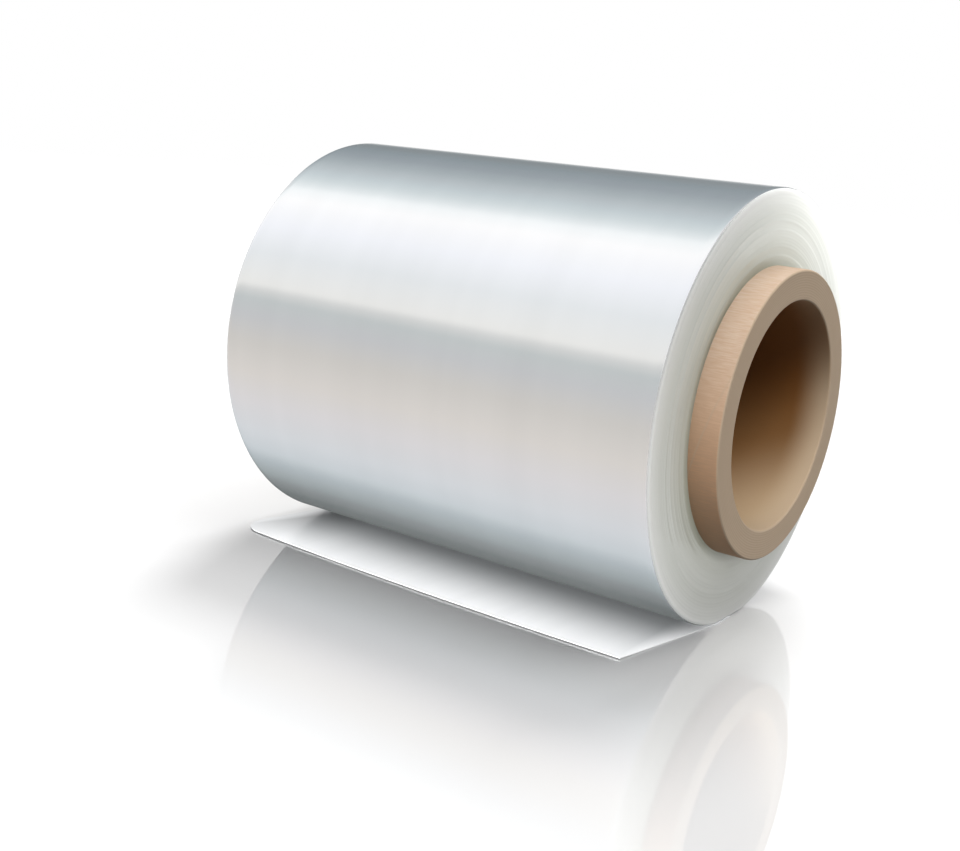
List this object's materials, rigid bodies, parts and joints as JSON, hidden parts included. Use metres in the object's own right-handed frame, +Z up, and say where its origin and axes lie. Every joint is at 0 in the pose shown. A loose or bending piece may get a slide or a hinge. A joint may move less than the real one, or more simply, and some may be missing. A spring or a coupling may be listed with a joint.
{
  "type": "cellophane roll",
  "caption": "Roll of clear wrapping film wound on a cardboard core, lying on its side with its end pulled loose.",
  "frame": {"origin": "on the surface that the roll lies on, below the middle of its axis", "axes": "+X along the roll's axis towards its near end, +Z up, and -Y the way the loose end lies"},
  "size_m": [0.192, 0.1458, 0.1454],
  "materials": {
    "core_board": "matte",
    "clear_film": "gloss"
  },
  "bodies": {
    "root": {"core": "core_board", "film": "clear_film"}
  },
  "joints": []
}
